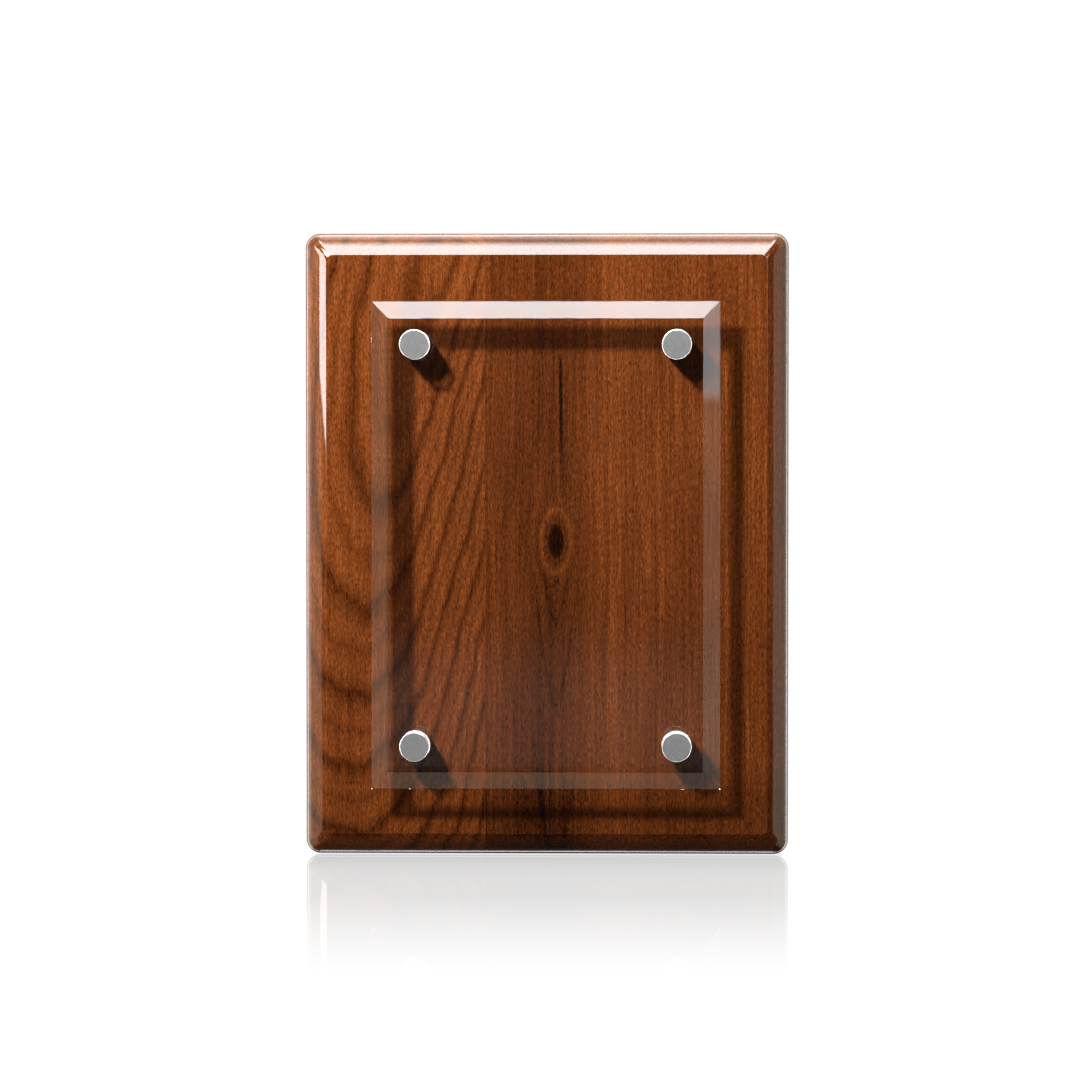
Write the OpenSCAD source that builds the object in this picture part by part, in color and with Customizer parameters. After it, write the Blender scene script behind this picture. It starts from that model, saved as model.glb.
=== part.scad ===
// Award plaque: a lacquered wooden backboard of two edge-glued staves, with a clear
// bevelled plate held off its face by four round aluminium standoffs.
// X runs to the right, Y runs from the front to the back, and Z runs up.
// The origin is the middle of the bottom of the whole object's box.
// Helper shapes are drawn in the XY plane with Z as the distance in front of the back face.

/* [Backboard] */
// Width of the backboard
board_w = 177.8; // [160:0.1:260]
// Height of the backboard
board_h = 228.6; // [215:0.1:340]
// Thickness of the backboard
board_t = 25.4; // [22:0.1:32]
// Corner radius of the backboard's outline
corner_r = 5; // [3:0.5:8]
// Distance of the glued seam from the left edge
seam_x = 66.5; // [55:0.5:76]
// Radius that rounds the back edges
back_round_r = 1.5; // [0.5:0.5:2.5]

/* [Edge moulding] */
// Slope of the sloping band, measured from the face, in degrees
band_slope = 32; // [25:1:45]
// Width of the sloping band, seen from the front
band_w = 4.4; // [3:0.1:6]
// Radius of the roll between the side and the sloping band
side_roll_r = 4; // [2:0.5:6]
// Radius of the roll between the sloping band and the face
face_roll_r = 5.2; // [3:0.1:7]

/* [Clear plate] */
// Width of the clear plate
plate_w = 127; // [110:0.1:140]
// Height of the clear plate
plate_h = 177.8; // [150:0.1:190]
// Thickness of the clear plate
plate_t = 3; // [3:0.5:6]
// Width of the bevel, seen from the front
bevel_w = 6.4; // [4:0.1:8]
// Height of the square edge left behind the bevel
plate_land = 1; // [0.5:0.1:2]
// Distance of each hole from the two nearest edges of the plate
hole_inset = 15.875; // [14:0.125:20]
// Diameter of the holes in the plate and in the washers
hole_d = 6.7; // [6.6:0.1:7]

/* [Standoffs] */
// Outside diameter of the barrels and of the caps
standoff_d = 10.8; // [10:0.1:12]
// Length of the barrels
barrel_l = 10; // [9:0.5:14]
// Thickness of the barrel's foot, under the head of the screw
barrel_foot = 3; // [2.5:0.1:3.5]
// Thickness of the cap's head
cap_t = 3; // [2:0.1:5]
// Radius that rounds the rim of the cap
cap_rim_r = 0.4; // [0.3:0.1:1]
// Diameter of the threaded stud on the cap
stud_d = 5.9; // [5.8:0.05:5.9]
// Length of thread that the stud has in the barrel
stud_grip = 5.5; // [4:0.5:5.5]
// Diameter of the barrel's threaded bore
bore_d = 6; // [6:0.02:6.04]
// Diameter of the nylon washers
washer_d = 10; // [9:0.1:10.4]
// Thickness of the nylon washers
washer_t = 0.5; // [0.3:0.1:0.8]

/* [Screws and hanger] */
// Diameter of the wood screws that hold the barrels
screw_d = 2.5; // [2:0.1:2.7]
// Length of the wood screws that hold the barrels
screw_l = 20; // [15:1:20]
// Head diameter of the wood screws that hold the barrels
screw_head_d = 4.7; // [4:0.1:5]
// Width of the keyhole hanger
hanger_w = 18; // [16:0.5:22]
// Length of the keyhole hanger
hanger_l = 48; // [44:1:54]
// Thickness of the keyhole hanger
hanger_t = 1.8; // [1.5:0.1:2]
// Distance of the hanger's centre below the top edge
hanger_drop = 40; // [36:1:60]
// Diameter of the keyhole's round entry
entry_d = 9.5; // [8:0.5:10]
// Width of the keyhole's slot
slot_w = 4.5; // [4:0.5:5]
// Height that the slot rises above the centre of the entry
slot_rise = 10; // [8:1:11]
// Depth of the pocket for a nail's head, measured from the back face
pocket_depth = 8; // [6:0.5:10]
// Diameter of the hanger's screws
hanger_screw_d = 3; // [2.5:0.1:3.5]
// Length of the hanger's screws
hanger_screw_l = 13; // [10:1:16]
// Distance of the hanger's screws from its ends
hanger_screw_inset = 5.5; // [5:0.5:6.5]

/* [Hidden] */
$fn = 96;
// Number of steps that an outline's arcs are divided into
arc_steps = 8;
// A little more than a cut needs, so that no cut ends flush with a face
over = 1;
// The standoffs' places: name, side, end
CORNERS = [
    ["top_left", -1, 1],
    ["top_right", 1, 1],
    ["bottom_left", -1, -1],
    ["bottom_right", 1, -1]
];

// Size of the edge moulding, across the face and from front to back
edge_w = side_roll_r * (1 - sin(band_slope)) + band_w + face_roll_r * sin(band_slope);
edge_depth = side_roll_r * cos(band_slope) + band_w * tan(band_slope)
    + face_roll_r * (1 - cos(band_slope));

// Distances in front of the back face, in the order of assembly
washer_back = board_t + barrel_l;
plate_back = washer_back + washer_t;
plate_front = plate_back + plate_t;
cap_back = plate_front + washer_t;
cap_front = cap_back + cap_t;
stud_end = washer_back - stud_grip;
back_y = cap_front / 2;

// Centres of the standoffs, from the middle of the board
standoff_x = plate_w / 2 - hole_inset;
standoff_z = plate_h / 2 - hole_inset;

// The barrel's screw: the height of its 90 degree head, and its clearance hole
screw_head_t = (screw_head_d - screw_d) / 2;
screw_clear_d = screw_d + 0.4;

// The hanger's screws, and their distance above and below the hanger's centre
hanger_head_d = 2 * hanger_screw_d - 0.2;
hanger_head_t = (hanger_head_d - hanger_screw_d) / 2;
hanger_screw_z = hanger_l / 2 - hanger_screw_inset;

// The keyhole's entry lies below the hanger's centre, over a wider pocket in the wood
entry_z = -slot_rise / 2;
pocket_w = entry_d + 2;

// Stands a flat drawing up: its X stays, its Y becomes Z, and it rises towards the front
module from_back(distance = 0) {
    translate([0, back_y - distance, 0]) rotate([90, 0, 0]) children();
}

// Moves to a standoff's centre, which is found by its side and end
module at_corner(corner) {
    translate([corner[1] * standoff_x, board_h / 2 + corner[2] * standoff_z, 0]) children();
}

// Points on an arc about a centre, from one angle to another
function arc(centre, radius, from_angle, to_angle) = [
    for (step = [0:arc_steps])
        let (angle = from_angle + (to_angle - from_angle) * step / arc_steps)
        centre + radius * [cos(angle), sin(angle)]
];

// The same points on the other side of the Y axis, in reverse, so that an outline stays one loop
function mirrored(points) = [
    for (i = [len(points) - 1:-1:0]) [-points[i][0], points[i][1]]
];

// A rectangle with round corners, centred on the origin
module round_rectangle(width, height, radius) {
    corner_x = width / 2 - radius;
    corner_y = height / 2 - radius;
    right = concat(
        arc([corner_x, -corner_y], radius, -90, 0),
        arc([corner_x, corner_y], radius, 0, 90)
    );
    polygon(concat(right, mirrored(right)));
}

// A slot with half-round ends, upright and centred on the origin
module round_slot(width, height) {
    square([width, height - width], center = true);
    for (end = [-1, 1]) {
        translate([0, end * (height - width) / 2]) circle(d = width);
    }
}

// Cross section of the backboard: X across it, Y from the back face to the front
module board_section(width) {
    half = width / 2;
    band_normal = 90 - band_slope;
    right = concat(
        arc([half - back_round_r, back_round_r], back_round_r, -90, 0),
        arc([half - side_roll_r, board_t - edge_depth], side_roll_r, 0, band_normal),
        arc([half - edge_w, board_t - face_roll_r], face_roll_r, band_normal, 90)
    );
    polygon(concat(right, mirrored(right)));
}

// The whole backboard with its moulded edge, before it is divided at the seam
module board_blank() {
    intersection() {
        linear_extrude(board_t) translate([0, board_h / 2]) round_rectangle(board_w, board_h, corner_r);
        rotate([90, 0, 0]) translate([0, 0, -board_h - over])
            linear_extrude(board_h + 2 * over) board_section(board_w);
        translate([0, board_h / 2, 0]) rotate([90, 0, 90]) translate([0, 0, -board_w / 2 - over])
            linear_extrude(board_w + 2 * over) board_section(board_h);
    }
}

// Holes and pockets in the wood: pilot holes, the hanger's recess and its pocket
module board_cuts() {
    for (corner = CORNERS) {
        at_corner(corner) translate([0, 0, washer_back - barrel_l + barrel_foot - screw_l])
            cylinder(d = screw_d, h = screw_l);
    }
    translate([0, board_h - hanger_drop, 0]) {
        translate([0, 0, -over]) linear_extrude(hanger_t + over) round_slot(hanger_w, hanger_l);
        translate([0, entry_z + slot_rise / 2, -over]) linear_extrude(pocket_depth + over)
            round_slot(pocket_w, slot_rise + pocket_w);
        for (end = [-1, 1]) {
            translate([0, end * hanger_screw_z, -over])
                cylinder(d = hanger_screw_d, h = hanger_screw_l + over);
        }
    }
}

// One stave: what lies on one side of the seam
module stave(from_x, to_x) {
    color("saddlebrown") from_back() difference() {
        intersection() {
            board_blank();
            translate([from_x, -over, -over]) cube([to_x - from_x, board_h + 2 * over, board_t + 2 * over]);
        }
        board_cuts();
    }
}

module left_stave() {
    stave(-board_w / 2 - over, seam_x - board_w / 2);
}

module right_stave() {
    stave(seam_x - board_w / 2, board_w / 2 + over);
}

// Cross section of the clear plate: a square land at the back, then the bevel
module plate_section(width) {
    polygon([
        [-width / 2, 0],
        [width / 2, 0],
        [width / 2, plate_land],
        [width / 2 - bevel_w, plate_t],
        [bevel_w - width / 2, plate_t],
        [-width / 2, plate_land]
    ]);
}

module clear_plate() {
    color("white", 0.35) from_back(plate_back) difference() {
        translate([0, board_h / 2, 0]) intersection() {
            rotate([90, 0, 0]) translate([0, 0, -plate_h / 2])
                linear_extrude(plate_h) plate_section(plate_w);
            rotate([90, 0, 90]) translate([0, 0, -plate_w / 2])
                linear_extrude(plate_w) plate_section(plate_h);
        }
        for (corner = CORNERS) {
            at_corner(corner) translate([0, 0, -over]) cylinder(d = hole_d, h = plate_t + 2 * over);
        }
    }
}

// A turned spacer: a threaded bore from the front, and a countersunk hole through its foot
module barrel(corner) {
    color("silver") from_back(board_t) at_corner(corner) difference() {
        cylinder(d = standoff_d, h = barrel_l);
        translate([0, 0, barrel_foot]) cylinder(d = bore_d, h = barrel_l);
        translate([0, 0, -over]) cylinder(d = screw_clear_d, h = barrel_foot + 2 * over);
        translate([0, 0, barrel_foot - screw_head_t])
            cylinder(d1 = screw_d, d2 = screw_head_d, h = screw_head_t);
    }
}

// A countersunk wood screw of the given size, its head's top at the origin, pointing down
module wood_screw(diameter, head_d, head_t, length) {
    recess_w = diameter * 0.28;
    recess_l = diameter * 1.1;
    recess_depth = head_t * 0.7;
    point_l = diameter * 1.2;
    point_d = diameter * 0.2;
    difference() {
        union() {
            translate([0, 0, -head_t]) cylinder(d1 = diameter, d2 = head_d, h = head_t);
            translate([0, 0, point_l - length]) cylinder(d = diameter, h = length - point_l);
            translate([0, 0, -length]) cylinder(d1 = point_d, d2 = diameter, h = point_l);
        }
        for (turn = [0, 90]) {
            rotate([0, 0, turn]) cube([recess_l, recess_w, 2 * recess_depth], center = true);
        }
    }
}

module barrel_screw(corner) {
    color("dimgray") from_back(board_t + barrel_foot) at_corner(corner)
        wood_screw(screw_d, screw_head_d, screw_head_t, screw_l);
}

// A flat nylon washer with its back at the given distance in front of the back face
module washer(corner, distance) {
    color("ghostwhite") from_back(distance) at_corner(corner) difference() {
        cylinder(d = washer_d, h = washer_t);
        translate([0, 0, -over]) cylinder(d = hole_d, h = washer_t + 2 * over);
    }
}

module rear_washer(corner) {
    washer(corner, washer_back);
}

module front_washer(corner) {
    washer(corner, plate_front);
}

// A cap: a flat round head with a rounded rim, in one piece with its stud
module cap(corner) {
    head_r = standoff_d / 2;
    stud_l = cap_back - stud_end;
    stud_chamfer = 0.5;
    color("silver") from_back(cap_back) at_corner(corner) rotate_extrude() {
        polygon([
            [0, -stud_l],
            [stud_d / 2 - stud_chamfer, -stud_l],
            [stud_d / 2, stud_chamfer - stud_l],
            [stud_d / 2, 0],
            [head_r, 0],
            [head_r, cap_t - cap_rim_r],
            [head_r - cap_rim_r, cap_t],
            [0, cap_t]
        ]);
        translate([head_r - cap_rim_r, cap_t - cap_rim_r]) circle(cap_rim_r);
    }
}

// The steel keyhole plate, flush with the back face
module keyhole_hanger() {
    color("lightgray") from_back() translate([0, board_h - hanger_drop, 0]) difference() {
        linear_extrude(hanger_t) difference() {
            round_slot(hanger_w, hanger_l);
            translate([0, entry_z]) circle(d = entry_d);
            translate([-slot_w / 2, entry_z]) square([slot_w, slot_rise]);
            translate([0, entry_z + slot_rise]) circle(d = slot_w);
        }
        for (end = [-1, 1]) {
            translate([0, end * hanger_screw_z, 0]) {
                translate([0, 0, -over]) cylinder(d = hanger_screw_d, h = hanger_t + 2 * over);
                cylinder(d1 = hanger_head_d, d2 = hanger_screw_d, h = hanger_head_t);
            }
        }
    }
}

module hanger_screws() {
    for (end = [-1, 1]) {
        color("dimgray") from_back() translate([0, board_h - hanger_drop + end * hanger_screw_z, 0])
            rotate([180, 0, 0]) wood_screw(hanger_screw_d, hanger_head_d, hanger_head_t, hanger_screw_l);
    }
}

left_stave();
right_stave();
clear_plate();
for (c = CORNERS) {
    barrel(c);
    barrel_screw(c);
    rear_washer(c);
    front_washer(c);
    cap(c);
}
keyhole_hanger();
hanger_screws();
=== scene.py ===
# Award plaque: a lacquered board of two glued staves, with a clear bevelled plate held off
# it by four turned standoffs. Lengths are in metres: X runs right, Y back and Z up.
import math

import bmesh
import bpy
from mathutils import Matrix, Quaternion, Vector


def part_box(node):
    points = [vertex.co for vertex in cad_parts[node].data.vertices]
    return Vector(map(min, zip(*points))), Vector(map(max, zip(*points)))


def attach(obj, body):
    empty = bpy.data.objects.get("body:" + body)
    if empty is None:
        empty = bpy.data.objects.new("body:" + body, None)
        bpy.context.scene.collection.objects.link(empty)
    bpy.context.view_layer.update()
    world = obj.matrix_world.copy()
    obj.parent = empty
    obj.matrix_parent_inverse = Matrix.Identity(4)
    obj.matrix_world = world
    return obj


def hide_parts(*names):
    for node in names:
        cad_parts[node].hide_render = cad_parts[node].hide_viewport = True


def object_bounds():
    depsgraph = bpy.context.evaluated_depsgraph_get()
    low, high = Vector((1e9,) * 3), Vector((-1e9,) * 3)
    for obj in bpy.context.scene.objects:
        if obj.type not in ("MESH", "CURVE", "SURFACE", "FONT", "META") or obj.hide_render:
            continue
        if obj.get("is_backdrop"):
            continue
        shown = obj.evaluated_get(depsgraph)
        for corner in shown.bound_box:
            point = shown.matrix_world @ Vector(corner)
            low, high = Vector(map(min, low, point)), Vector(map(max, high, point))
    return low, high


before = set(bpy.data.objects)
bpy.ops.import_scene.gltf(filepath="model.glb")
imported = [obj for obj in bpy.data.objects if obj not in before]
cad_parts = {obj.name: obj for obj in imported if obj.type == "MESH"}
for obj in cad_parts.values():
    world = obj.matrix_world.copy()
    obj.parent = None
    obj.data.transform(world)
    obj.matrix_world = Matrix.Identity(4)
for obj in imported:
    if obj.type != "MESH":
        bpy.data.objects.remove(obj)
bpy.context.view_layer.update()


# ---- Backboard: shape ----
# A narrow and a wide stave of open-pored hardwood, glued edge to edge and then shaped as one.
# A spindle moulder has run a tight roll and a gently crowned slope round the front's edge, the
# mitres are eased by sanding, and the back is routed out for the hanger.
mm = 0.001
left_low, left_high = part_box("left_stave")
right_low, right_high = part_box("right_stave")
hanger_low, hanger_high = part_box("keyhole_hanger")
board_w = right_high.x - left_low.x
board_h = left_high.z - left_low.z
board_t = left_high.y - left_low.y
seam_x = left_high.x
face_y = left_low.y
back_y = left_high.y
back_round_r = 1.5 * mm
corner_r = 5 * mm
mitre_r, mitre_ease = 2.4 * mm, 2 * mm
overcut = 1 * mm
# The moulding's stretches, from the side inwards: width across the face, steepness in degrees
# where the stretch starts, and steps
moulding = [(0.9 * mm, 90, 12), (4.1 * mm, 42, 6), (3.0 * mm, 34, 6), (0.2 * mm, 26, 6)]


def moulded_edge():
    """Points of the edge's section, as (inset from the outline, depth behind the face)."""
    inset, depth, points = 0.0, 0.0, [(0.0, 0.0)]
    ends = [steep for width, steep, steps in moulding[1:]] + [0]
    for (width, steep, steps), flatter in zip(moulding, ends):
        start, end = math.sin(math.radians(steep)), math.sin(math.radians(flatter))
        radius = width / (start - end)
        for i in range(steps):
            a, b = (math.asin(start + (end - start) * k / steps) for k in (i, i + 1))
            inset += radius * (math.sin(a) - math.sin(b))
            depth -= radius * (math.cos(b) - math.cos(a))
            points.append((inset, depth))
    return [(inset, from_top - depth) for inset, from_top in points]


edge_section = moulded_edge()
edge_depth = edge_section[0][1]


def eased_corner(inset):
    """Corner radius at an inset: the outline's own, less the inset, but never as sharp as a mitre."""
    spare = corner_r - mitre_r - inset
    return mitre_r + 0.5 * (spare + math.sqrt(spare * spare + mitre_ease ** 2))


def board_ring(inset, rise, steps=12):
    """Points round the board at one inset and one rise, with round corners."""
    radius = eased_corner(inset)
    reach_x = board_w / 2 - inset - radius
    reach_z = board_h / 2 - inset - radius
    ring = []
    for quarter, (side, end) in enumerate([(1, 1), (-1, 1), (-1, -1), (1, -1)]):
        for i in range(steps + 1):
            a = math.pi / 2 * (quarter + i / steps)
            ring.append(Vector((side * reach_x + radius * math.cos(a), back_y - rise,
                                board_h / 2 + end * reach_z + radius * math.sin(a))))
    return ring


def new_piece(name, mesh_maker):
    """A piece whose mesh is what mesh_maker leaves in an empty bmesh."""
    bm = bmesh.new()
    mesh_maker(bm)
    bmesh.ops.recalc_face_normals(bm, faces=bm.faces)
    mesh = bpy.data.meshes.new(name)
    bm.to_mesh(mesh)
    bm.free()
    piece = bpy.data.objects.new(name, mesh)
    bpy.context.scene.collection.objects.link(piece)
    return piece


def skin(bm, rings, closed=True):
    """Joins rings of points into one closed skin, with a face over each end."""
    rows = [[bm.verts.new(p) for p in ring] for ring in rings]
    for lower, upper in zip(rows, rows[1:]):
        for i in range(len(lower)):
            j = (i + 1) % len(lower)
            bm.faces.new([lower[i], lower[j], upper[j], upper[i]])
    if closed:
        bm.faces.new(rows[0])
        bm.faces.new(rows[-1])


def shape_board(bm):
    back_edge = [math.radians(15 * i) for i in range(7)]
    section = [(back_round_r * (1 - math.sin(a)), back_round_r * (1 - math.cos(a))) for a in back_edge]
    section += [(inset, board_t - depth) for inset, depth in edge_section]
    skin(bm, [board_ring(inset, rise) for inset, rise in section])


def saw(bm, at_x, keep_side):
    """Saws the board through at a plane and keeps one side, closed over the cut."""
    cut = bmesh.ops.bisect_plane(
        bm, geom=bm.verts[:] + bm.edges[:] + bm.faces[:], plane_co=(at_x, 0, 0),
        plane_no=(-keep_side, 0, 0), clear_outer=True, dist=1e-7)
    edges = [e for e in cut["geom_cut"] if isinstance(e, bmesh.types.BMEdge)]
    bmesh.ops.contextual_create(bm, geom=edges)


def prism(outline, from_y, to_y):
    """A maker for a straight-sided solid: an outline of (x, z) points, run from front to back."""
    return lambda bm: skin(bm, [[Vector((x, y, z)) for x, z in outline] for y in (from_y, to_y)])


def circle(x, z, radius, steps=48):
    angles = [2 * math.pi * i / steps for i in range(steps)]
    return [(x + radius * math.cos(a), z + radius * math.sin(a)) for a in angles]


def round_slot(x, z, width, height, steps=24):
    """Outline of an upright slot with half-round ends."""
    radius, reach = width / 2, (height - width) / 2
    upper = [math.pi * i / steps for i in range(steps + 1)]
    return ([(x + radius * math.cos(a), z + reach + radius * math.sin(a)) for a in upper]
            + [(x - radius * math.cos(a), z - reach - radius * math.sin(a)) for a in upper])


def cut_away(piece, cutters):
    """Cuts each cutter's solid out of a piece, and throws the cutters away."""
    for cutter in cutters:
        cut = piece.modifiers.new("cut", "BOOLEAN")
        cut.operation, cut.solver, cut.object = "DIFFERENCE", "EXACT", cutter
    bpy.context.view_layer.update()
    shaped = bpy.data.meshes.new_from_object(piece.evaluated_get(bpy.context.evaluated_depsgraph_get()))
    piece.modifiers.clear()
    piece.data = shaped
    for cutter in cutters:
        bpy.data.objects.remove(cutter)


def fair(piece, sharp_deg=35):
    """Smooth shading up to an edge angle, with large faces left flat."""
    piece.data.shade_smooth()
    piece.data.set_sharp_from_angle(angle=math.radians(sharp_deg))
    level = piece.modifiers.new("fair", "WEIGHTED_NORMAL")
    level.keep_sharp = True
    level.weight = 100


def shape_left(bm):
    shape_board(bm)
    saw(bm, seam_x, -1)


def shape_right(bm):
    shape_board(bm)
    saw(bm, seam_x, 1)


left_stave = new_piece("Left_stave", shape_left)
right_stave = new_piece("Right_stave", shape_right)

hanger_x = (hanger_low.x + hanger_high.x) / 2
hanger_z = (hanger_low.z + hanger_high.z) / 2
hanger_w = hanger_high.x - hanger_low.x
hanger_l = hanger_high.z - hanger_low.z
hanger_t = hanger_high.y - hanger_low.y
pocket_w, pocket_l, pocket_depth = 11.5 * mm, 21.5 * mm, 8 * mm
hanger_screw_r, hanger_screw_l = 1.5 * mm, 13 * mm
hanger_screw_z = hanger_l / 2 - 5.5 * mm
beyond = back_y + overcut
routed = [new_piece("cutter", prism(round_slot(hanger_x, hanger_z, hanger_w, hanger_l),
                                    back_y - hanger_t, beyond)),
          new_piece("cutter", prism(round_slot(hanger_x, hanger_z, pocket_w, pocket_l),
                                    back_y - pocket_depth, beyond))]
for end in (-1, 1):
    hole = circle(hanger_x, hanger_z + end * hanger_screw_z, hanger_screw_r)
    routed.append(new_piece("cutter", prism(hole, back_y - hanger_screw_l, beyond)))
cut_away(right_stave, routed)

corners = ["top_left", "top_right", "bottom_left", "bottom_right"]
pilot_r = 1.25 * mm
for stave, side in ((left_stave, "left"), (right_stave, "right")):
    pilots = []
    for corner in (c for c in corners if c.endswith(side)):
        low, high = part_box("barrel_screw_" + corner)
        hole = circle((low.x + high.x) / 2, (low.z + high.z) / 2, pilot_r, 24)
        pilots.append(new_piece("cutter", prism(hole, face_y - overcut, high.y)))
    cut_away(stave, pilots)
    fair(stave)


# ---- Backboard: timber and lacquer ----
# Open-pored hardwood, stained reddish brown, then sprayed with a thick clear lacquer and
# polished. The left stave is cut near the outside of the log and shows nested arches. The
# right one is straight-grained, with one small knot and the grain flowing round it.
def new_finish(name):
    """An empty material, with its node tree and its main shader."""
    finish = bpy.data.materials.new(name)
    finish.use_nodes = True
    return finish, finish.node_tree, finish.node_tree.nodes["Principled BSDF"]


def feed(tree, socket, value):
    """Gives a socket a value, or a link from another socket."""
    if isinstance(value, bpy.types.NodeSocket):
        tree.links.new(value, socket)
    else:
        socket.default_value = value


def reckon(tree, operation, *values):
    """One step of arithmetic."""
    node = tree.nodes.new("ShaderNodeMath")
    node.operation = operation
    for socket, value in zip(node.inputs, values):
        feed(tree, socket, value)
    return node.outputs[0]


def fade(tree, value, start, end, low=0.0, high=1.0):
    """A smooth change from low to high as value goes from start to end."""
    node = tree.nodes.new("ShaderNodeMapRange")
    node.interpolation_type = "SMOOTHSTEP"
    for socket, given in zip(node.inputs, (value, start, end, low, high)):
        feed(tree, socket, given)
    return node.outputs[0]


def at(tree, x, y, z):
    """A point put together from three numbers."""
    node = tree.nodes.new("ShaderNodeCombineXYZ")
    for socket, value in zip(node.inputs, (x, y, z)):
        feed(tree, socket, value)
    return node.outputs[0]


def squeezed(tree, x, y, z, by_x, by_y, by_z):
    """A point with its three numbers multiplied; a small factor draws the grain out that way."""
    return at(tree, reckon(tree, "MULTIPLY", x, by_x), reckon(tree, "MULTIPLY", y, by_y),
              reckon(tree, "MULTIPLY", z, by_z))


def about(tree, value, amount):
    """Turns variation from 0 to 1 into an amount shared out on both sides of nothing."""
    return reckon(tree, "MULTIPLY_ADD", value, amount, -amount / 2)


def grain(tree, place, detail=2.0, roughness=0.5):
    """Smooth random variation, from 0 to 1, about one patch for each unit of length."""
    node = tree.nodes.new("ShaderNodeTexNoise")
    tree.links.new(place, node.inputs["Vector"])
    node.inputs["Scale"].default_value = 1.0
    node.inputs["Detail"].default_value = detail
    node.inputs["Roughness"].default_value = roughness
    return node.outputs["Fac"]


def steps_of(tree, value, stops, smooth=True):
    """A ramp through (position, grey or colour) stops."""
    node = tree.nodes.new("ShaderNodeValToRGB")
    node.color_ramp.interpolation = "B_SPLINE" if smooth else "LINEAR"
    feed(tree, node.inputs["Fac"], value)
    points = node.color_ramp.elements
    while len(points) < len(stops):
        points.new(0.5)
    for point, (position, shade) in zip(points, stops):
        point.position = position
        point.color = (*shade, 1) if isinstance(shade, tuple) else (shade, shade, shade, 1)
    return node.outputs["Color"]


def in_millimetres(tree):
    """Where a point of the piece is: across, front to back, and up, in millimetres."""
    where = tree.nodes.new("ShaderNodeTexCoord")
    scaled = tree.nodes.new("ShaderNodeVectorMath")
    scaled.operation = "SCALE"
    scaled.inputs["Scale"].default_value = 1000.0
    tree.links.new(where.outputs["Object"], scaled.inputs[0])
    parts = tree.nodes.new("ShaderNodeSeparateXYZ")
    tree.links.new(scaled.outputs[0], parts.inputs[0])
    return parts.outputs[0], parts.outputs[1], parts.outputs[2]


def arches(tree, x, y, z):
    """Growth rings cut aslant: nested arches with their tips down, whose line drifts to the left."""
    height, depth = board_h / mm, face_y / mm
    rings_at_top, rings_down, rings_bent, rings_inward = 1.8, 0.7, 4.9, 0.04
    axis_x, axis_z, axis_bend, axis_wander = -69.6, 4.3, 0.00067, 8.0
    ring_w_right, ring_w_left, raggedness = 6.2, 10.5, 0.30
    fall = reckon(tree, "SUBTRACT", 1.0, reckon(tree, "DIVIDE", z, height))
    ring_here = reckon(tree, "MULTIPLY_ADD", reckon(tree, "MULTIPLY", fall, fall), rings_bent,
                       reckon(tree, "MULTIPLY_ADD", fall, rings_down, rings_at_top))
    behind = reckon(tree, "MULTIPLY_ADD", reckon(tree, "SUBTRACT", y, depth), rings_inward, ring_here)
    rise = reckon(tree, "SUBTRACT", z, axis_z)
    axis = reckon(tree, "MULTIPLY_ADD", reckon(tree, "MULTIPLY", rise, rise), axis_bend, axis_x)
    wander = grain(tree, squeezed(tree, x, y, z, 0.035, 1.0, 0.02))
    off_axis = reckon(tree, "ADD", reckon(tree, "SUBTRACT", x, axis), about(tree, wander, axis_wander))
    spread = reckon(
        tree, "ADD", reckon(tree, "DIVIDE", reckon(tree, "MAXIMUM", off_axis, 0.0), ring_w_right),
        reckon(tree, "DIVIDE", reckon(tree, "MINIMUM", off_axis, 0.0), ring_w_left))
    ring = reckon(tree, "SQRT", reckon(tree, "ADD", reckon(tree, "MULTIPLY", spread, spread),
                                       reckon(tree, "MULTIPLY", behind, behind)))
    ragged = grain(tree, squeezed(tree, x, y, z, 0.25, 0.25, 0.06), 3.0)
    ring = reckon(tree, "ADD", ring, about(tree, ragged, raggedness))
    return steps_of(tree, reckon(tree, "FRACT", ring), [
        (0.0, 0.0), (0.05, 0.12), (0.2, 0.78), (0.4, 1.0), (0.5, 0.45), (0.58, 0.85), (0.8, 1.0),
        (0.93, 0.55), (1.0, 0.0)])


def knot_flow(tree, x, z, knot_x, knot_z, knot_r, stretch):
    """Where a fibre was before the knot pushed it aside, how far off the knot is, and how far aside."""
    across = reckon(tree, "SUBTRACT", x, knot_x)
    along = reckon(tree, "DIVIDE", reckon(tree, "SUBTRACT", z, knot_z), stretch)
    square = reckon(tree, "ADD", reckon(tree, "MULTIPLY", across, across),
                    reckon(tree, "MULTIPLY", along, along))
    least = 0.3
    pushed = reckon(tree, "DIVIDE", knot_r * knot_r, reckon(tree, "MAXIMUM", square, least))
    undisturbed = reckon(tree, "MULTIPLY", across,
                         reckon(tree, "MAXIMUM", reckon(tree, "SUBTRACT", 1.0, pushed), 0.0))
    return undisturbed, reckon(tree, "DIVIDE", reckon(tree, "SQRT", square), knot_r), across


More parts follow.
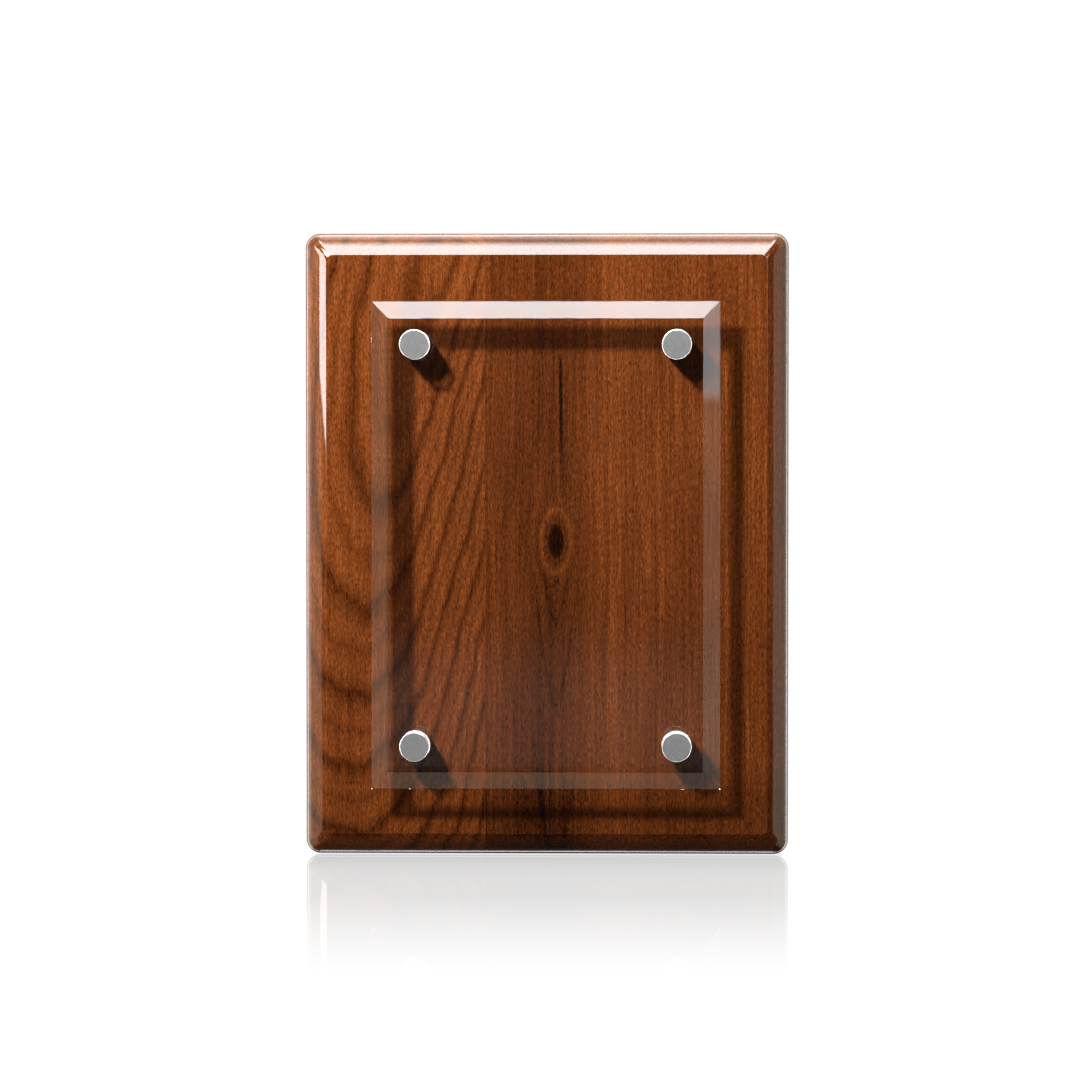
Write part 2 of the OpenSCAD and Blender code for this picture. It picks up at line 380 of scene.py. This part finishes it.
def timber(tree, shader, tone, x, y, z, painted_falloff, painted_foot_shade):
    """Turns a tone into stained wood under polished lacquer, with painted shade that darkens it towards the
    foot, standing in for the lamp's falloff.
    """
    fibre_mark, fine_mark, cloud_mark, pore_mark = 0.60, 1.10, 0.24, 0.18
    foot_low, foot_high = 20.0, 36.0
    fibre = grain(tree, squeezed(tree, x, y, z, 1.1, 1.1, 0.03), 4.0, 0.65)
    fine = grain(tree, squeezed(tree, x, y, z, 2.4, 2.4, 0.5), 2.0, 0.7)
    pore = grain(tree, squeezed(tree, x, y, z, 2.2, 2.2, 0.55), 0.0)
    cloud = grain(tree, squeezed(tree, x, y, z, 0.045, 0.045, 0.018), 2.0)
    pores = fade(tree, pore, 0.30, 0.44, -pore_mark, 0.0)
    foot = reckon(tree, "DIVIDE", reckon(tree, "SUBTRACT", z, board_h / mm / 2), board_h / mm)
    mixed = reckon(tree, "ADD", tone, pores)
    mixed = reckon(tree, "ADD", mixed, about(tree, fibre, fibre_mark))
    mixed = reckon(tree, "ADD", mixed, about(tree, fine, fine_mark))
    mixed = reckon(tree, "ADD", mixed, about(tree, cloud, cloud_mark))
    # Painted shade: the tone darkens steadily from top to foot, standing in for the lamp's falloff down the
    # board
    mixed = reckon(tree, "MULTIPLY_ADD", foot, painted_falloff, mixed)
    # More painted shade along the foot, darkest below 20 mm
    mixed = reckon(tree, "SUBTRACT", mixed, fade(tree, z, foot_low, foot_high, painted_foot_shade, 0.0))
    stain = steps_of(tree, mixed, [
        (0.0, (0.010, 0.002, 0.0005)), (0.25, (0.048, 0.011, 0.002)), (0.5, (0.110, 0.026, 0.005)),
        (0.7, (0.175, 0.042, 0.008)), (0.85, (0.240, 0.059, 0.012)), (1.0, (0.360, 0.096, 0.022))], False)
    tree.links.new(stain, shader.inputs["Base Color"])
    shader.inputs["Roughness"].default_value = 0.5
    shader.inputs["Specular IOR Level"].default_value = 0.0
    shader.inputs["Coat Weight"].default_value = 1.0
    shader.inputs["Coat Roughness"].default_value = 0.03
    shader.inputs["Coat IOR"].default_value = 1.52
    ripple = tree.nodes.new("ShaderNodeBump")
    ripple.inputs["Strength"].default_value = 0.05
    ripple.inputs["Distance"].default_value = 0.0002
    flow = grain(tree, squeezed(tree, x, y, z, 0.12, 0.12, 0.12), 1.0)
    tree.links.new(flow, ripple.inputs["Height"])
    tree.links.new(ripple.outputs["Normal"], shader.inputs["Coat Normal"])


arched_finish, tree, shader = new_finish("Arched_timber")
x, y, z = in_millimetres(tree)
line = arches(tree, x, y, z)
line_mark, line_base = 0.42, 0.45
tone = reckon(tree, "MULTIPLY_ADD", line, line_mark, line_base)
# The last two amounts are painted shade, darkening the tone towards the foot
timber(tree, shader, tone, x, y, z, painted_falloff=0.17, painted_foot_shade=0.06)
left_stave.data.materials.clear()
left_stave.data.materials.append(arched_finish)

knotted_finish, tree, shader = new_finish("Knotted_timber")
x, y, z = in_millimetres(tree)
knot_x, knot_z, knot_r, knot_stretch = 3.5, 115.5, 6.2, 2.1
heart_reach, heart_mark, heart_base = 110.0, 0.70, -0.12
loop_first, loop_mark, pith_x, pith_mark = 7.5, 0.22, 1.7, 0.5
flow_x, from_knot, across = knot_flow(tree, x, z, knot_x, knot_z, knot_r, knot_stretch)
broad = grain(tree, squeezed(tree, flow_x, y, z, 0.22, 0.22, 0.006), 3.0, 0.6)
streak = grain(tree, squeezed(tree, flow_x, y, z, 0.8, 0.8, 0.012), 3.0, 0.7)
tone = reckon(tree, "ADD", reckon(tree, "MULTIPLY", broad, 0.22), reckon(tree, "MULTIPLY", streak, 0.5))
from_seam = reckon(tree, "SUBTRACT", flow_x, seam_x / mm)
heart = steps_of(tree, reckon(tree, "DIVIDE", from_seam, heart_reach), [
    (0.0, 0.58), (0.08, 0.50), (0.16, 0.38), (0.26, 0.46), (0.35, 0.80), (0.45, 0.80), (0.56, 0.66),
    (0.70, 0.66), (0.82, 0.72), (1.0, 0.70)])
tone = reckon(tree, "ADD", tone, reckon(tree, "MULTIPLY_ADD", heart, heart_mark, heart_base))
below = reckon(tree, "SUBTRACT", knot_z, z)
aside = reckon(tree, "ABSOLUTE", across)
hung = reckon(tree, "MULTIPLY_ADD", reckon(tree, "POWER", aside, 1.5), 2.0, below)
loops = reckon(tree, "DIVIDE", reckon(tree, "MAXIMUM", hung, 1.0), loop_first)
loops = reckon(tree, "LOGARITHM", loops, 2.0)
loop_line = steps_of(tree, reckon(tree, "FRACT", loops), [
    (0.0, 1.0), (0.04, 0.9), (0.12, 0.1), (0.5, 0.0), (0.9, 0.1), (1.0, 1.0)])
loop_here = reckon(tree, "MULTIPLY", fade(tree, aside, 6.0, 10.0, 1.0, 0.0), fade(tree, below, 8.0, 16.0))
loop_line = reckon(tree, "MULTIPLY", loop_line, loop_here)
tone = reckon(tree, "SUBTRACT", tone, reckon(tree, "MULTIPLY", loop_line, loop_mark))
pith = fade(tree, reckon(tree, "ABSOLUTE", reckon(tree, "SUBTRACT", flow_x, pith_x)), 0.15, 0.9, 1.0, 0.0)
above = reckon(tree, "SUBTRACT", z, knot_z)
pith_here = reckon(tree, "MULTIPLY", fade(tree, above, 14.0, 52.0), fade(tree, above, 60.0, 72.0, 1.0, 0.0))
pith = reckon(tree, "MULTIPLY", pith, pith_here)
tone = reckon(tree, "SUBTRACT", tone, reckon(tree, "MULTIPLY", pith, pith_mark))
knot_ring = steps_of(tree, from_knot, [
    (0.0, 0.0), (0.36, 0.02), (0.48, 0.30), (0.54, 0.56), (0.64, 0.34), (0.84, 0.80), (0.95, 0.74),
    (1.0, 0.6)])
in_knot = fade(tree, from_knot, 0.95, 1.12, 1.0, 0.0)
tone = reckon(tree, "ADD", reckon(tree, "MULTIPLY", tone, reckon(tree, "SUBTRACT", 1.0, in_knot)),
              reckon(tree, "MULTIPLY", knot_ring, in_knot))
# The last two amounts are painted shade, darkening the tone towards the foot
timber(tree, shader, tone, x, y, z, painted_falloff=0.15, painted_foot_shade=0.16)
right_stave.data.materials.clear()
right_stave.data.materials.append(knotted_finish)

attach(left_stave, "board")
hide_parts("left_stave")
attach(right_stave, "board")
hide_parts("right_stave")


# ---- Keyhole hanger and its screws ----
# A pressed steel keyhole plate, zinc plated, let in flush with the back. Two countersunk
# wood screws hold it, and a nail's head drops through its round end into the pocket.
def plated_finish(name, shade, roughness):
    """Zinc plating: grey metal with fine clouding and rolling marks."""
    finish, tree, shader = new_finish(name)
    x, y, z = in_millimetres(tree)
    cloud = grain(tree, squeezed(tree, x, y, z, 0.6, 1.0, 0.6), 4.0, 0.6)
    rolled = grain(tree, squeezed(tree, x, y, z, 9.0, 1.0, 0.5), 2.0)
    tree.links.new(steps_of(tree, cloud, [(0.3, tuple(c * 0.82 for c in shade)), (0.7, shade)]),
                   shader.inputs["Base Color"])
    shader.inputs["Metallic"].default_value = 1.0
    tree.links.new(reckon(tree, "MULTIPLY_ADD", cloud, 0.25, roughness - 0.12), shader.inputs["Roughness"])
    marks = tree.nodes.new("ShaderNodeBump")
    marks.inputs["Strength"].default_value = 0.15
    marks.inputs["Distance"].default_value = 0.00005
    tree.links.new(rolled, marks.inputs["Height"])
    tree.links.new(marks.outputs["Normal"], shader.inputs["Normal"])
    return finish


hanger_finish = plated_finish("Zinc_plate", (0.62, 0.63, 0.65), 0.38)
screw_finish = plated_finish("Zinc_screw", (0.52, 0.53, 0.55), 0.32)
for name, finish in [("keyhole_hanger", hanger_finish), ("hanger_screws", screw_finish)] + [
        ("barrel_screw_" + corner, screw_finish) for corner in corners]:
    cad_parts[name].data.materials.clear()
    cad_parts[name].data.materials.append(finish)


# ---- Standoff barrels ----
# Turned aluminium spacers, satin anodised, with a broken edge at both ends. Each is screwed
# through its foot to the board, and its bore takes the stud of a cap.
turned_steps = 96


def turned_ring(middle, radius, y):
    """Points round a line along Y."""
    turns = [2 * math.pi * i / turned_steps for i in range(turned_steps)]
    return [Vector((middle.x + radius * math.cos(a), y, middle.z + radius * math.sin(a))) for a in turns]


def turned(name, middle, section):
    """A hollow piece turned on a lathe: a closed section of (radius, y) points, swept round."""
    def sweep(bm):
        rings = [turned_ring(middle, radius, y) for radius, y in section]
        skin(bm, rings + rings[:1], False)
        bmesh.ops.remove_doubles(bm, verts=bm.verts, dist=1e-7)
    return new_piece(name, sweep)


def turned_finish(name, middle):
    """Satin anodised aluminium: turning marks round the axis, and a faintly mottled sheen."""
    finish, tree, shader = new_finish(name)
    x, y, z = in_millimetres(tree)
    out_x = reckon(tree, "SUBTRACT", x, middle.x / mm)
    out_z = reckon(tree, "SUBTRACT", z, middle.z / mm)
    radius = reckon(tree, "SQRT", reckon(tree, "ADD", reckon(tree, "MULTIPLY", out_x, out_x),
                                         reckon(tree, "MULTIPLY", out_z, out_z)))
    marks = grain(tree, squeezed(tree, radius, y, 0.0, 9.0, 9.0, 1.0), 3.0, 0.7)
    mottle = grain(tree, squeezed(tree, x, y, z, 1.1, 1.1, 1.1), 4.0, 0.65)
    tree.links.new(steps_of(tree, mottle, [(0.35, (0.52, 0.52, 0.525)), (0.65, (0.64, 0.64, 0.645))]),
                   shader.inputs["Base Color"])
    shader.inputs["Metallic"].default_value = 0.6
    tree.links.new(reckon(tree, "MULTIPLY_ADD", mottle, 0.12, 0.11), shader.inputs["Roughness"])
    relief = tree.nodes.new("ShaderNodeBump")
    relief.inputs["Strength"].default_value = 0.12
    relief.inputs["Distance"].default_value = 0.00002
    tree.links.new(reckon(tree, "ADD", marks, mottle), relief.inputs["Height"])
    tree.links.new(relief.outputs["Normal"], shader.inputs["Normal"])
    return finish


barrel_break = 0.3 * mm
barrel_bore_r, barrel_foot = 3 * mm, 3 * mm
foot_hole_r, foot_hole_end_r = barrel_bore_r - 1.4 * mm, barrel_bore_r - 1.55 * mm
for corner in corners:
    low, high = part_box("barrel_" + corner)
    middle, outer = (low + high) / 2, (high.x - low.x) / 2
    barrel = turned("Barrel_" + corner, middle, [
        (outer - barrel_break, high.y), (outer, high.y - barrel_break), (outer, low.y + barrel_break),
        (outer - barrel_break, low.y), (barrel_bore_r + barrel_break, low.y),
        (barrel_bore_r, low.y + barrel_break), (barrel_bore_r, high.y - barrel_foot),
        (foot_hole_r, high.y - barrel_foot), (foot_hole_end_r, high.y)])
    barrel.data.materials.append(turned_finish("Satin_barrel_" + corner, middle))
    fair(barrel, 30)
    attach(barrel, "board")
    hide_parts("barrel_" + corner)


# ---- Washers ----
# Thin natural nylon washers, punched from sheet, one on each side of the clear plate.
nylon_finish, tree, shader = new_finish("Natural_nylon")
x, y, z = in_millimetres(tree)
cloud = grain(tree, squeezed(tree, x, y, z, 0.8, 1.0, 0.8), 3.0)
tree.links.new(steps_of(tree, cloud, [(0.3, (0.70, 0.70, 0.67)), (0.7, (0.82, 0.82, 0.80))]),
               shader.inputs["Base Color"])
shader.inputs["Roughness"].default_value = 0.4
shader.inputs["Subsurface Weight"].default_value = 0.3
shader.inputs["Subsurface Radius"].default_value = (0.001, 0.001, 0.001)
washer_hole_r, washer_break = 3.35 * mm, 0.1 * mm
for corner in corners:
    for place, body in (("rear", "board"), ("front", "washer_" + corner)):
        node = place + "_washer_" + corner
        low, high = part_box(node)
        outer = (high.x - low.x) / 2
        washer = turned(place.capitalize() + "_washer_" + corner, (low + high) / 2, [
            (outer - washer_break, high.y), (outer, high.y - washer_break),
            (outer, low.y + washer_break), (outer - washer_break, low.y),
            (washer_hole_r, low.y), (washer_hole_r, high.y)])
        washer.data.materials.append(nylon_finish)
        fair(washer, 30)
        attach(washer, body)
        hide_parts(node)


# ---- Clear plate ----
# Cast acrylic sheet, bevelled on all four front edges and flame polished, so that light runs
# along its arrises. Four drilled holes clear the studs of the caps.
plate_low, plate_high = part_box("clear_plate")
plate_w = plate_high.x - plate_low.x
plate_h = plate_high.z - plate_low.z
plate_mid_z = (plate_high.z + plate_low.z) / 2
bevel_w, land = 6.4 * mm, 1 * mm
arris, crease = 0.28 * mm, 0.08 * mm
plate_hole_r = 3.35 * mm


def shape_plate(bm):
    slope = (plate_high.y - plate_low.y - land) / bevel_w
    section = [(arris, plate_high.y), (0, plate_high.y - arris), (0, plate_high.y - land + arris / 2),
               (arris, plate_high.y - land - arris * slope),
               (bevel_w - crease, plate_low.y + crease * slope), (bevel_w + crease, plate_low.y)]
    rings = []
    for inset, y in section:
        half_w, half_h = plate_w / 2 - inset, plate_h / 2 - inset
        rings.append([Vector((sx * half_w, y, plate_mid_z + sz * half_h))
                      for sx, sz in [(1, 1), (-1, 1), (-1, -1), (1, -1)]])
    skin(bm, rings)


plate = new_piece("Clear_plate", shape_plate)
drills = []
for corner in corners:
    low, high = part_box("rear_washer_" + corner)
    hole = circle((low.x + high.x) / 2, (low.z + high.z) / 2, plate_hole_r, 96)
    drills.append(new_piece("cutter", prism(hole, plate_low.y - overcut, plate_high.y + overcut)))
cut_away(plate, drills)
plate.data.shade_smooth()
plate.data.set_sharp_from_angle(angle=math.radians(5))


def clear_finish(name, shadow):
    """Clear acrylic: it bends what shows through it, and shadow is the share of lamp light it lets by."""
    finish, tree, shader = new_finish(name)
    x, y, z = in_millimetres(tree)
    haze = grain(tree, squeezed(tree, x, y, z, 0.3, 1.0, 0.3), 2.0)
    tree.links.new(steps_of(tree, haze, [(0.3, (0.985, 0.99, 0.99)), (0.7, (1.0, 1.0, 1.0))]),
                   shader.inputs["Base Color"])
    shader.inputs["Roughness"].default_value = 0.0
    shader.inputs["IOR"].default_value = 1.49
    shader.inputs["Transmission Weight"].default_value = 1.0
    seen_by = tree.nodes.new("ShaderNodeLightPath")
    through = tree.nodes.new("ShaderNodeBsdfTransparent")
    through.inputs["Color"].default_value = (shadow, shadow, shadow, 1)
    either = tree.nodes.new("ShaderNodeMixShader")
    tree.links.new(seen_by.outputs["Is Shadow Ray"], either.inputs[0])
    tree.links.new(shader.outputs[0], either.inputs[1])
    tree.links.new(through.outputs[0], either.inputs[2])
    tree.links.new(either.outputs[0], tree.nodes["Material Output"].inputs["Surface"])
    return finish


plate.data.materials.clear()
plate.data.materials.append(clear_finish("Clear_acrylic_face", shadow=1.0))
plate.data.materials.append(clear_finish("Clear_acrylic_bevel", shadow=0.25))
for face in plate.data.polygons:
    middle = face.center
    flat = abs(face.normal.y) > 0.99
    in_hole = (abs(middle.x) < plate_w / 2 - bevel_w
               and abs(middle.z - plate_mid_z) < plate_h / 2 - bevel_w)
    face.material_index = 0 if flat or in_hole else 1
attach(plate, "board")
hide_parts("clear_plate")


# ---- Caps ----
# One turned aluminium piece each: a flat head with a rounded rim, and the M6 stud that
# screws into the barrel through the washers and the plate. Satin anodised all over. The
# shadow beside each one is its barrel's: the caps cast none.
cap_t, cap_rim_r, cap_break = 3 * mm, 0.4 * mm, 0.2 * mm
stud_r, thread_depth, thread_pitch, thread_rows = 2.95 * mm, 0.5 * mm, 1 * mm, 8
run_out_depth, run_out_step, point_r = 0.4 * mm, 0.12, 0.01 * mm


def shape_cap(middle, low, high, head_r):
    """The head's section on a lathe, and a stud with a helical thread cut in it."""
    head_back = low.y + cap_t
    def make(bm):
        rim = [(head_r - cap_rim_r + cap_rim_r * math.sin(math.radians(a)),
                low.y + cap_rim_r - cap_rim_r * math.cos(math.radians(a))) for a in range(0, 91, 15)]
        section = [(point_r, low.y), *rim, (head_r, head_back - cap_break), (head_r - cap_break, head_back)]
        rings = [turned_ring(middle, radius, y) for radius, y in section]
        rows = int((high.y - head_back) / (thread_pitch / thread_rows))
        for row in range(rows + 1):
            y = head_back + (high.y - head_back) * row / rows
            full = min(1.0, run_out_step * (rows - row))
            ring = []
            for i in range(turned_steps):
                turn = i / turned_steps
                groove = abs(((y - head_back) / thread_pitch + turn) % 1.0 - 0.5) * 2
                radius = stud_r - thread_depth * groove - run_out_depth * (1 - full)
                ring.append(Vector((middle.x + radius * math.cos(2 * math.pi * turn), y,
                                    middle.z + radius * math.sin(2 * math.pi * turn))))
            rings.append(ring)
        skin(bm, rings)
    return make


for corner in corners:
    low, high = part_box("cap_" + corner)
    middle, head_r = (low + high) / 2, (high.x - low.x) / 2
    cap = new_piece("Cap_" + corner, shape_cap(middle, low, high, head_r))
    cap.data.materials.append(turned_finish("Satin_cap_" + corner, middle))
    fair(cap, 40)
    cap.visible_shadow = False
    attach(cap, "cap_" + corner)
    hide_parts("cap_" + corner)


# ---- Floor ----
# A pale polished table top that carries on out of sight, and that shows a faint image of
# what stands on it, fading on every side and soonest behind.
floor_reach, floor_drop = 6.0, 0.2 * mm
image_reach, fades_behind = 400.0, 2.5


def shape_floor(bm):
    bm.faces.new([bm.verts.new((sx * floor_reach, sy * floor_reach, -floor_drop))
                  for sx, sy in [(1, 1), (-1, 1), (-1, -1), (1, -1)]])


floor = new_piece("Floor", shape_floor)
floor_finish, tree, shader = new_finish("Pale_floor")
x, y, _ = in_millimetres(tree)
ahead = reckon(tree, "SUBTRACT", face_y / mm, y)
beside = reckon(tree, "SUBTRACT", reckon(tree, "ABSOLUTE", x), board_w / 2 / mm)
behind = reckon(tree, "MULTIPLY", reckon(tree, "SUBTRACT", y, back_y / mm), fades_behind)
away = reckon(tree, "MAXIMUM", reckon(tree, "MAXIMUM", ahead, beside), behind)
polish = steps_of(tree, reckon(tree, "DIVIDE", away, image_reach), [
    (0.0, 0.40), (0.12, 0.30), (0.30, 0.27), (0.45, 0.19), (0.6, 0.10), (0.75, 0.03), (0.9, 0.0)], False)
glow = tree.nodes.new("ShaderNodeEmission")
glow.inputs["Strength"].default_value = 1.02
mirror = tree.nodes.new("ShaderNodeBsdfGlossy")
mirror.inputs["Roughness"].default_value = 0.02
mirror.inputs["Color"].default_value = (1, 1, 1, 1)
shown = tree.nodes.new("ShaderNodeMixShader")
tree.links.new(polish, shown.inputs[0])
tree.links.new(glow.outputs[0], shown.inputs[1])
tree.links.new(mirror.outputs[0], shown.inputs[2])
dull = tree.nodes.new("ShaderNodeBsdfDiffuse")
dull.inputs["Color"].default_value = (0.12, 0.115, 0.11, 1)
seen_by = tree.nodes.new("ShaderNodeLightPath")
either = tree.nodes.new("ShaderNodeMixShader")
tree.links.new(seen_by.outputs["Is Camera Ray"], either.inputs[0])
tree.links.new(dull.outputs[0], either.inputs[1])
tree.links.new(shown.outputs[0], either.inputs[2])
tree.links.new(either.outputs[0], tree.nodes["Material Output"].inputs["Surface"])
floor.data.materials.append(floor_finish)
floor.visible_glossy = False
floor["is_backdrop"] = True


# ---- Lamps and surroundings ----
# A lamp at the upper left casts the soft shadows, and a weak one lights the back. Soft cards
# overhead, at both sides and round the lamp shine only in polished surfaces. The room is dark
# in front, but for a dim ring that the plate's bevels pick up, and bright at the sides.
board_middle = Vector((0, face_y, board_h / 2))
pale = 1.02


def way(azimuth, elevation):
    """Direction from the board, in degrees: azimuth to the right of straight ahead, and elevation."""
    a, e = math.radians(azimuth), math.radians(elevation)
    return Vector((math.sin(a) * math.cos(e), -math.cos(a) * math.cos(e), math.sin(e)))


def lamp(name, direction, distance, size, radiance):
    """A round lamp that faces the board, and that is itself never seen."""
    data = bpy.data.lights.new(name, "AREA")
    data.shape = "DISK"
    data.size = size
    data.energy = radiance * math.pi * math.pi * size * size / 4
    lit = bpy.data.objects.new(name, data)
    lit.location = board_middle + direction * distance
    lit.rotation_mode = "QUATERNION"
    lit.rotation_quaternion = direction.to_track_quat("Z", "Y")
    lit.visible_camera = False
    lit.visible_glossy = False
    lit.visible_transmission = False
    bpy.context.scene.collection.objects.link(lit)


key_way, key_far = Vector((-0.69, -1.0, 0.93)).normalized(), 1.4
lamp("Key_lamp", key_way, key_far, size=0.17, radiance=400.0)
lamp("Back_lamp", way(138, 22), 1.6, size=0.6, radiance=32.0)


def card(name, direction, distance, width, height, radiance, soft_top=0.02, tilt=0.0):
    """A glowing card that faces the board. It shows in polish, and lights nothing else."""
    soft_foot = 0.02

    def shape(bm):
        bm.faces.new([bm.verts.new((sx * width / 2, sy * height / 2, 0))
                      for sx, sy in [(1, 1), (-1, 1), (-1, -1), (1, -1)]])
    sheet = new_piece(name, shape)
    sheet.location = board_middle + direction * distance
    sheet.rotation_mode = "QUATERNION"
    sheet.rotation_quaternion = direction.to_track_quat("Z", "Y") @ Quaternion((0, 0, 1), math.radians(tilt))
    finish, tree, shader = new_finish(name)
    tree.nodes.remove(shader)
    where = tree.nodes.new("ShaderNodeTexCoord")
    parts = tree.nodes.new("ShaderNodeSeparateXYZ")
    tree.links.new(where.outputs["Generated"], parts.inputs[0])
    soft = reckon(tree, "MULTIPLY", fade(tree, parts.outputs[1], 1.0 - soft_top, 1.0, 1.0, 0.0),
                  fade(tree, parts.outputs[1], 0.0, soft_foot))
    seen_by = tree.nodes.new("ShaderNodeLightPath")
    mirrored = reckon(tree, "SUBTRACT", seen_by.outputs["Is Glossy Ray"], seen_by.outputs["Diffuse Depth"])
    glow = tree.nodes.new("ShaderNodeEmission")
    glow.inputs["Strength"].default_value = radiance
    clear = tree.nodes.new("ShaderNodeBsdfTransparent")
    either = tree.nodes.new("ShaderNodeMixShader")
    tree.links.new(reckon(tree, "MULTIPLY", reckon(tree, "MAXIMUM", mirrored, 0.0), soft), either.inputs[0])
    tree.links.new(clear.outputs[0], either.inputs[1])
    tree.links.new(glow.outputs[0], either.inputs[2])
    tree.links.new(either.outputs[0], tree.nodes["Material Output"].inputs["Surface"])
    finish.cycles.emission_sampling = "NONE"
    sheet.data.materials.append(finish)
    sheet.visible_camera = sheet.visible_diffuse = sheet.visible_shadow = sheet.visible_transmission = False
    sheet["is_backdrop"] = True


card_far = 1.6
card("Overhead_card", way(0, 50), card_far, width=1.3, height=1.85, radiance=17.5, soft_top=0.175)
card("Right_card", way(37, 15), card_far, width=0.40, height=0.72, radiance=4.6)
card("Left_card", way(-60, 16), card_far, width=0.51, height=0.84, radiance=15.0, tilt=-10.3)
card("Key_card", key_way, key_far, width=0.45, height=0.45, radiance=26.0)

world = bpy.data.worlds.new("Room")
bpy.context.scene.world = world
world.use_nodes = True
tree = world.node_tree
where = tree.nodes.new("ShaderNodeTexCoord")
parts = tree.nodes.new("ShaderNodeSeparateXYZ")
tree.links.new(where.outputs["Generated"], parts.inputs[0])
# The room's light by the angle from straight ahead, widened a little above the horizon
turn = reckon(tree, "ARCCOSINE", reckon(tree, "MULTIPLY", parts.outputs[1], -1.0))
upward = reckon(tree, "MAXIMUM", parts.outputs[2], 0.0)
turn = reckon(tree, "ADD", turn, reckon(tree, "MULTIPLY", upward, 0.05))
room = steps_of(tree, reckon(tree, "DIVIDE", turn, math.pi), [
    (0.0, (0.02, 0.02, 0.02)), (0.16, (0.02, 0.02, 0.02)), (0.17, (1.2, 1.05, 0.8)),
    (0.24, (1.2, 1.05, 0.8)), (0.25, (0.02, 0.02, 0.02)), (0.358, (0.02, 0.02, 0.02)),
    (0.375, (1.3, 1.15, 0.9)), (0.46, (1.3, 1.15, 0.9)),
    (0.50, (5.5, 5.2, 4.8)), (0.62, (5.5, 5.2, 4.8)), (0.68, (0.8, 0.8, 0.8)), (0.90, (0.8, 0.8, 0.8)),
    (0.94, (pale, pale, pale))], False)
lit_above = fade(tree, parts.outputs[2], -0.85, -0.6, 0.06, 1.0)
lit_above = reckon(tree, "ADD", lit_above, fade(tree, parts.outputs[2], 0.85, 0.97, 0.0, 0.8))
dimmed = tree.nodes.new("ShaderNodeVectorMath")
dimmed.operation = "SCALE"
tree.links.new(room, dimmed.inputs[0])
tree.links.new(lit_above, dimmed.inputs["Scale"])
# A bright line square to the side, which the board's outermost roll picks up
line_light = 12.0
edge_light = reckon(tree, "MULTIPLY", fade(tree, turn, 1.53, 1.56),
                    fade(tree, turn, 1.67, 1.70, line_light, 0.0))
lined = tree.nodes.new("ShaderNodeVectorMath")
tree.links.new(dimmed.outputs[0], lined.inputs[0])
tree.links.new(edge_light, lined.inputs[1])
room = lined.outputs[0]
seen_by = tree.nodes.new("ShaderNodeLightPath")
background = tree.nodes["Background"]
soft = tree.nodes.new("ShaderNodeMix")
soft.data_type = "RGBA"
tree.links.new(reckon(tree, "SUBTRACT", seen_by.outputs["Is Glossy Ray"], seen_by.outputs["Diffuse Depth"]),
               soft.inputs[0])
soft.inputs[6].default_value = (0.08, 0.08, 0.08, 1)
tree.links.new(room, soft.inputs[7])
seen = tree.nodes.new("ShaderNodeMix")
seen.data_type = "RGBA"
tree.links.new(seen_by.outputs["Is Camera Ray"], seen.inputs[0])
tree.links.new(soft.outputs[2], seen.inputs[6])
seen.inputs[7].default_value = (pale, pale, pale, 1)
tree.links.new(seen.outputs[2], background.inputs["Color"])


# ---- Camera ----
# A long lens almost square on to the board, a little to the right of it and above it.
outline_y = back_y - (board_t - edge_depth)
camera_right, camera_far, camera_up = 0.035, 1.4, 0.037
camera_data = bpy.data.cameras.new("Camera")
camera_data.sensor_width = 36.0
camera_data.lens = 126.7
camera_data.shift_x = -0.0064
camera_data.shift_y = 0.0038
camera = bpy.data.objects.new("Camera", camera_data)
camera_from = Vector((camera_right, outline_y - camera_far, board_h / 2 + camera_up))
camera.location = camera_from
camera.rotation_mode = "QUATERNION"
camera.rotation_quaternion = (camera_from - Vector((0, outline_y, board_h / 2))).to_track_quat("Z", "Y")
bpy.context.scene.collection.objects.link(camera)
bpy.context.scene.camera = camera
bpy.context.scene.view_settings.view_transform = "Standard"

low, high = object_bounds()
